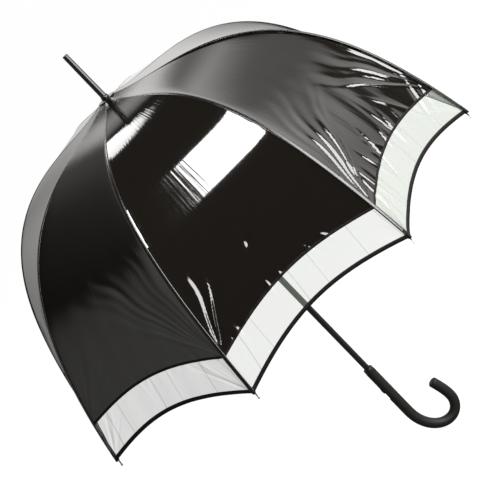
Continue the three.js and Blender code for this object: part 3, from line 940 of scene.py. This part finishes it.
def make_pockets():
    """The gathered pocket that holds each rib's tip at the corner of the hem."""
    end_slope = slope_at(1.0)
    for number in range(1, RIB_COUNT + 1):
        shares = np.linspace(1 - POCKET_LENGTH / RIB_ARC, 1.0, POCKET_STEPS)
        points, ups = seam_line(number, shares)
        direction = math.cos(end_slope) * rib_outward(number) - math.sin(end_slope) * UP
        points = np.concatenate([points, points[-1] + np.outer(POCKET_ENDS, direction)])
        ups = np.concatenate([ups, ups[-1:], ups[-1:]])
        widths = pocket_sizes(len(points), *POCKET_WIDTHS)
        heights = pocket_sizes(len(points), *POCKET_HEIGHTS)
        ovals = [oval(w, h, TAPE_SIDES, up=POCKET_ABOVE_COVER - h / 2) for w, h in zip(widths, heights)]
        piece = add_swept(f"corner_pocket_{number}", points, ups, np.stack(ovals), TAPE)
        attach(piece, f"rod_{number}")


# -------------------- ferrule, cap and collar
# The profiles of the ferrule and the cap are in millimetres.
FERRULE_BORE = 3.5
FERRULE_BORE_DEPTH = 23.3
CAP_BORE = 3.5
COLLAR_BORE = 5.5 * MM


def at_crown(profile):
    """A profile given in millimetres from the shaft's axis and from the crown's height, in metres."""
    return [(r * MM, CROWN_Z + z * MM) for r, z in profile]


def make_turned(name, profile, replaced, slot):
    """A solid of revolution on the shaft that stands for a CAD node."""
    piece = lathe(name, profile, MATERIALS[slot])
    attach(piece, "root")
    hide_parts(replaced)


def make_ferrule():
    low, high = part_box("ferrule")
    top = (high.z - CROWN_Z) / MM
    bottom = (low.z - CROWN_Z) / MM
    profile = [
        (FERRULE_BORE, bottom),
        (6.4, bottom),
        (6.7, bottom + 0.3),
        (6.7, bottom + 2.6),
        (6.4, bottom + 3.2),
        (5.6, bottom + 4.2),
        (5.3, bottom + 5.5),
        (4.75, top - 1.6),
        (4.6, top - 0.7),
        (4.1, top - 0.15),
        (3.6, top),
        (0.0, top),
        (0.0, bottom + FERRULE_BORE_DEPTH),
        (FERRULE_BORE, bottom + FERRULE_BORE_DEPTH),
    ]
    make_turned("ferrule_turned", at_crown(profile), "ferrule", "gloss_black")


def make_cap():
    profile = [
        (CAP_BORE, -1.0),
        (12.0, -1.0),
        (12.0, 0.3),
        (16.0, 0.3),
        (16.3, 0.55),
        (16.3, 1.0),
        (15.9, 1.4),
        (14.6, 1.75),
        (11.0, 2.15),
        (8.2, 2.35),
        (7.6, 2.6),
        (7.3, 3.0),
        (CAP_BORE, 3.0),
    ]
    make_turned("crown_cap_turned", at_crown(profile), "crown_cap", "gloss_black")


def make_collar():
    low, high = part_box("handle_collar")
    outer = high.x
    profile = [
        (COLLAR_BORE, low.z),
        (outer, low.z),
        (outer, high.z - 1.9 * MM),
        (outer - 0.25 * MM, high.z - 1.2 * MM),
        (outer - 0.9 * MM, high.z - 0.4 * MM),
        (outer - 1.5 * MM, high.z),
        (COLLAR_BORE, high.z),
    ]
    make_turned("collar_turned", profile, "handle_collar", "black_plastic")


# -------------------- crook handle
# The crook's points are (y, z). It bends down from the grip, round its lowest and its farthest point.
GRIP_RADIUS = 9 * MM
GRIP_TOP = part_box("crook_handle")[1].z
BEND_START = -44 * MM
CROOK_LOW = (45 * MM, -107 * MM)
CROOK_FAR = (70.5 * MM, -78 * MM)
CROOK_END = (63.5 * MM, -39 * MM)
CROOK_END_LEAN = 3.5 * MM
QUARTER_HANDLE = 0.5523
STRAIGHT_STEPS, DOWN_STEPS, UP_STEPS, END_STEPS = 60, 40, 30, 24
# The end is a flat face with a rounded edge, in this many steps.
END_ROUNDING_STEPS = 6
END_ROUNDING = 3.4 * MM
END_FACE_SHARE = 0.62
GRIP_SIDES = 48
GRIP_SHARP = 35
EDGE_BEVEL = 0.3 * MM
EDGE_SEGMENTS = 2
# The recess for the thumb, and the hole that the button moves in, which is wider than the button by a gap.
RECESS_BOX = ((-5 * MM, 5 * MM), (-20 * MM, -6.5 * MM), (-6 * MM, 10 * MM))
RECESS_BEVEL = 1.2 * MM
RECESS_SEGMENTS = 4
BUTTON_HOLE_Y = (-20 * MM, -7.0 * MM)
BUTTON_GAP = 0.35 * MM


def bezier(a, b, c, d, count):
    s = np.linspace(0, 1, count)[:, None]
    a, b, c, d = (np.asarray(p, float) for p in (a, b, c, d))
    return (1 - s) ** 3 * a + 3 * (1 - s) ** 2 * s * b + 3 * (1 - s) * s * s * c + s**3 * d


def quarter(start, corner, end, count):
    """A quarter of an ellipse that leaves start towards corner and reaches end from it."""
    start, corner, end = (np.asarray(p, float) for p in (start, corner, end))
    leaving = start + QUARTER_HANDLE * (corner - start)
    reaching = end + QUARTER_HANDLE * (corner - end)
    return bezier(start, leaving, reaching, end, count)


def crook_line():
    """The middle line of the handle, from its top to the crook's end."""
    straight = np.stack([np.zeros(STRAIGHT_STEPS), np.linspace(GRIP_TOP, BEND_START, STRAIGHT_STEPS)], -1)
    down = quarter((0, BEND_START), (0, CROOK_LOW[1]), CROOK_LOW, DOWN_STEPS)
    up = quarter(CROOK_LOW, (CROOK_FAR[0], CROOK_LOW[1]), CROOK_FAR, UP_STEPS)
    lift = (CROOK_END[1] - CROOK_FAR[1]) / 3
    leaving = (CROOK_FAR[0], CROOK_FAR[1] + lift)
    reaching = (CROOK_END[0] + CROOK_END_LEAN, CROOK_END[1] - lift)
    end = bezier(CROOK_FAR, leaving, reaching, CROOK_END, END_STEPS)
    line = np.concatenate([straight, down[1:], up[1:], end[1:]])
    return np.stack([np.zeros(len(line)), line[:, 0], line[:, 1]], -1)


def grip_solid():
    """The whole handle without its recess and its hole."""
    line = crook_line()
    tangents = unit(np.gradient(line, axis=0))
    ups = np.cross(tangents, np.array([1.0, 0, 0]))
    angles = np.linspace(0, math.pi / 2, END_ROUNDING_STEPS + 1)[1:]
    scales = np.concatenate([np.ones(len(line)), END_FACE_SHARE + (1 - END_FACE_SHARE) * np.cos(angles)])
    line = np.concatenate([line, line[-1] + np.outer(END_ROUNDING * np.sin(angles), tangents[-1])])
    ups = np.concatenate([ups, np.repeat(ups[-1:], END_ROUNDING_STEPS, 0)])
    ring = oval(2 * GRIP_RADIUS, 2 * GRIP_RADIUS, GRIP_SIDES)
    verts, faces = sweep(line, ups, scales[:, None, None] * ring)
    piece = add_mesh("crook_grip", verts, faces, MATERIALS["grip"])
    weld(piece)
    return piece


def box_cutter(name, x, y, z):
    corners = [(a, b, c) for a in x for b in y for c in z]
    faces = [(0, 1, 3, 2), (4, 6, 7, 5), (0, 4, 5, 1), (2, 3, 7, 6), (0, 2, 6, 4), (1, 5, 7, 3)]
    return add_mesh(name, corners, faces, MATERIALS["grip"])


def thumb_recess():
    cutter = box_cutter("cut_recess", *RECESS_BOX)
    rounded = cutter.modifiers.new("bevel", "BEVEL")
    rounded.width = RECESS_BEVEL
    rounded.segments = RECESS_SEGMENTS
    return cutter


def button_hole():
    low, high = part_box("push_button")
    x = (low.x - BUTTON_GAP, high.x + BUTTON_GAP)
    z = (low.z - BUTTON_GAP, high.z + BUTTON_GAP)
    return box_cutter("cut_pocket", x, BUTTON_HOLE_Y, z)


def apply_modifiers(piece):
    dg = bpy.context.evaluated_depsgraph_get()
    made = bpy.data.meshes.new_from_object(piece.evaluated_get(dg))
    piece.modifiers.clear()
    piece.data = made


def cut(piece, cutters):
    for cutter in cutters:
        boolean = piece.modifiers.new("cut", "BOOLEAN")
        boolean.operation = "DIFFERENCE"
        boolean.solver = "EXACT"
        boolean.object = cutter
    bpy.context.view_layer.update()
    apply_modifiers(piece)
    for cutter in cutters:
        bpy.data.objects.remove(cutter)


def make_handle():
    piece = grip_solid()
    cut(piece, [thumb_recess(), button_hole()])
    sharpen(piece, GRIP_SHARP)
    soft = piece.modifiers.new("edges", "BEVEL")
    soft.width = EDGE_BEVEL
    soft.segments = EDGE_SEGMENTS
    soft.limit_method = "ANGLE"
    soft.angle_limit = math.radians(GRIP_SHARP)
    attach(piece, "root")
    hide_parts("crook_handle")


# -------------------- camera and floor
CAMERA_AT = Vector((3.0136, -0.1360, 1.2495))
CAMERA_AZIMUTH = math.radians(177.325)
CAMERA_ELEVATION = math.radians(-16.358)
CAMERA_ROLL = math.radians(-44.053)
CAMERA_LENS = 138.298
SENSOR_WIDTH = 36
CAMERA_REACH = 200
FLOOR_REACH = 60
FLOOR_GAP = 2 * MM
FLOOR_GLOW = 0.91


def make_camera():
    data = bpy.data.cameras.new("photo_camera")
    data.lens = CAMERA_LENS
    data.sensor_width = SENSOR_WIDTH
    data.sensor_fit = "HORIZONTAL"
    data.clip_end = CAMERA_REACH
    camera = bpy.data.objects.new("photo_camera", data)
    bpy.context.scene.collection.objects.link(camera)
    e, a = CAMERA_ELEVATION, CAMERA_AZIMUTH
    forward = Vector((math.cos(e) * math.cos(a), math.cos(e) * math.sin(a), math.sin(e)))
    level = forward.cross(Vector((0, 0, 1))).normalized()
    upright = level.cross(forward)
    right = level * math.cos(CAMERA_ROLL) + upright * math.sin(CAMERA_ROLL)
    up = right.cross(forward)
    turn = Matrix((right, up, -forward)).transposed()
    camera.matrix_world = Matrix.Translation(CAMERA_AT) @ turn.to_4x4()
    bpy.context.scene.camera = camera


def make_floor():
    """A white floor just below the crook. Most of its white is its own glow, which nothing glossy mirrors."""
    low = CAD_BOX[0].z - FLOOR_GAP
    corners = [(x * FLOOR_REACH, y * FLOOR_REACH, low) for x, y in ((-1, -1), (1, -1), (1, 1), (-1, 1))]
    m = new_material("floor_white", (0.12, 0.12, 0.12), 0.9)
    shader_of(m).inputs["Emission Color"].default_value = (1, 1, 1, 1)
    shader_of(m).inputs["Emission Strength"].default_value = FLOOR_GLOW
    floor = add_mesh("studio_floor", corners, [(0, 1, 2, 3)], m, smooth=False)
    floor.visible_glossy = False


# -------------------- light
# A light's size is its extent along Y, or along X where it faces along Y, and its extent square to that.
# The key softbox stands close above the cover, on the crook's side, and gives the large highlight.
KEY_CENTRE = (0.561, 0.0725, 1.0925)
KEY_TOWARDS = (0.016, 0.0725, 0.2535)
KEY_SIZE = (0.093, 0.336)
KEY_RADIANCE = 30
# The back softbox gives the streak near the crown.
BACK_CENTRE = (-0.50, -0.045, 1.395)
BACK_TOWARDS = (0.19, -0.055, 0.60)
BACK_SIZE = (0.215, 0.38)
BACK_RADIANCE = 6.5
# The side softbox stands in front of the umbrella, on the crook's side.
SIDE_CENTRE = (1.36, 1.46, 1.10)
SIDE_TOWARDS = (0.28, 0.0, 0.58)
SIDE_SIZE = (2.45, 1.4)
SIDE_RADIANCE = 12
POWER_PER_AREA = 4
# A light faces along Y when more than this share of its direction does.
FACES_ALONG_Y = 0.7

# What the film mirrors: an even glow, and brighter patches. A patch has its strength, then the ranges of
# X, Y and Z of the mirrored direction over which it comes in or goes out. The camera stands at +X.
EVEN_GLOW = 0.05
MIRROR_COLOUR = (1.0, 0.985, 0.97, 1)
BEHIND = ("X", 0.0, -0.85)
BELOW_MIDDLE = ("Z", 0.50, 0.39)
ABOVE_FLOOR = ("Z", -0.20, 0.06)
HALF_BEHIND = ("X", -0.38, -0.70)
NOT_QUITE_BEHIND = ("X", -0.90, -0.74)
PATCHES = (
    (0.27, BEHIND, BELOW_MIDDLE, ABOVE_FLOOR),
    (0.28, BEHIND, BELOW_MIDDLE, ABOVE_FLOOR, ("Y", -0.12, 0.00)),
    (0.90, BEHIND, ("Z", 0.12, 0.32), BELOW_MIDDLE),
    (0.22, BEHIND, ("Z", 0.90, 0.60), ("Y", 0.02, -0.12)),
    (0.85, ("Y", -0.06, 0.06), ("Y", 0.30, 0.12), ("X", -0.30, -0.60), ("Z", 0.60, 0.50)),
    (0.85, ("Y", 0.10, 0.35), ("X", -0.02, -0.12), ("Z", 0.80, 0.66), ("Z", 0.02, 0.20)),
    (1.20, ("Y", 0.25, 0.45), HALF_BEHIND, NOT_QUITE_BEHIND, ("Z", 0.85, 0.65), ("Z", 0.32, 0.58)),
    (1.30, ("Y", 0.50, 0.95), ("X", -0.04, -0.12), ("Z", 0.50, 0.15)),
    (0.50, ("Y", -0.80, -1.0), ("Z", 0.52, 0.36)),
)


def area_light(name, centre, towards, size, radiance, shape="RECTANGLE"):
    data = bpy.data.lights.new(name, "AREA")
    data.shape = shape
    data.size, data.size_y = size
    data.energy = POWER_PER_AREA * radiance * size[0] * size[1]
    light = bpy.data.objects.new(name, data)
    light.visible_camera = False
    bpy.context.scene.collection.objects.link(light)
    centre = Vector(centre)
    back = (centre - Vector(towards)).normalized()
    side = Vector((0, 1, 0)) if abs(back.y) < FACES_ALONG_Y else Vector((1, 0, 0))
    up = back.cross(side).normalized()
    side = up.cross(back)
    turn = Matrix((side, up, back)).transposed()
    light.matrix_world = Matrix.Translation(centre) @ turn.to_4x4()


def make_lights():
    area_light("key_softbox", KEY_CENTRE, KEY_TOWARDS, KEY_SIZE, KEY_RADIANCE)
    area_light("back_softbox", BACK_CENTRE, BACK_TOWARDS, BACK_SIZE, BACK_RADIANCE, "ELLIPSE")
    area_light("side_softbox", SIDE_CENTRE, SIDE_TOWARDS, SIDE_SIZE, SIDE_RADIANCE)


def mirrored_glow(world):
    """How bright the surroundings are in each mirrored direction."""
    coordinates = node(world, "ShaderNodeTexCoord")
    split = node(world, "ShaderNodeSeparateXYZ")
    link(world, coordinates.outputs["Generated"], split.inputs["Vector"])
    glow = EVEN_GLOW
    for strength, *ranges in PATCHES:
        for axis, start, end in ranges:
            share = map_range(world, split.outputs[axis], (start, end), (0.0, 1.0))
            strength = calculate(world, "MULTIPLY", strength, share)
        glow = calculate(world, "ADD", glow, strength)
    return glow


def make_world():
    """White for the camera; for reflections dark in front of the object and pale behind and beside it."""
    world = bpy.data.worlds.new("studio")
    bpy.context.scene.world = world
    world.use_nodes = True
    world.node_tree.nodes.clear()
    mirror = node(world, "ShaderNodeBackground")
    link(world, mirrored_glow(world), mirror.inputs["Strength"])
    mirror.inputs["Color"].default_value = MIRROR_COLOUR
    backdrop = node(world, "ShaderNodeBackground")
    backdrop.inputs["Strength"].default_value = 1.0
    path = node(world, "ShaderNodeLightPath")
    mix = node(world, "ShaderNodeMixShader")
    out = node(world, "ShaderNodeOutputWorld")
    link(world, path.outputs["Is Camera Ray"], mix.inputs["Fac"])
    link(world, mirror.outputs[0], mix.inputs[1])
    link(world, backdrop.outputs[0], mix.inputs[2])
    link(world, mix.outputs[0], out.inputs["Surface"])


bpy.context.scene.view_settings.view_transform = "Standard"
make_camera()
make_world()
make_floor()
make_lights()
dress_cad_nodes()
make_film()
make_seams()
make_welts()
make_bindings()
make_pockets()
make_ferrule()
make_cap()
make_handle()
make_collar()
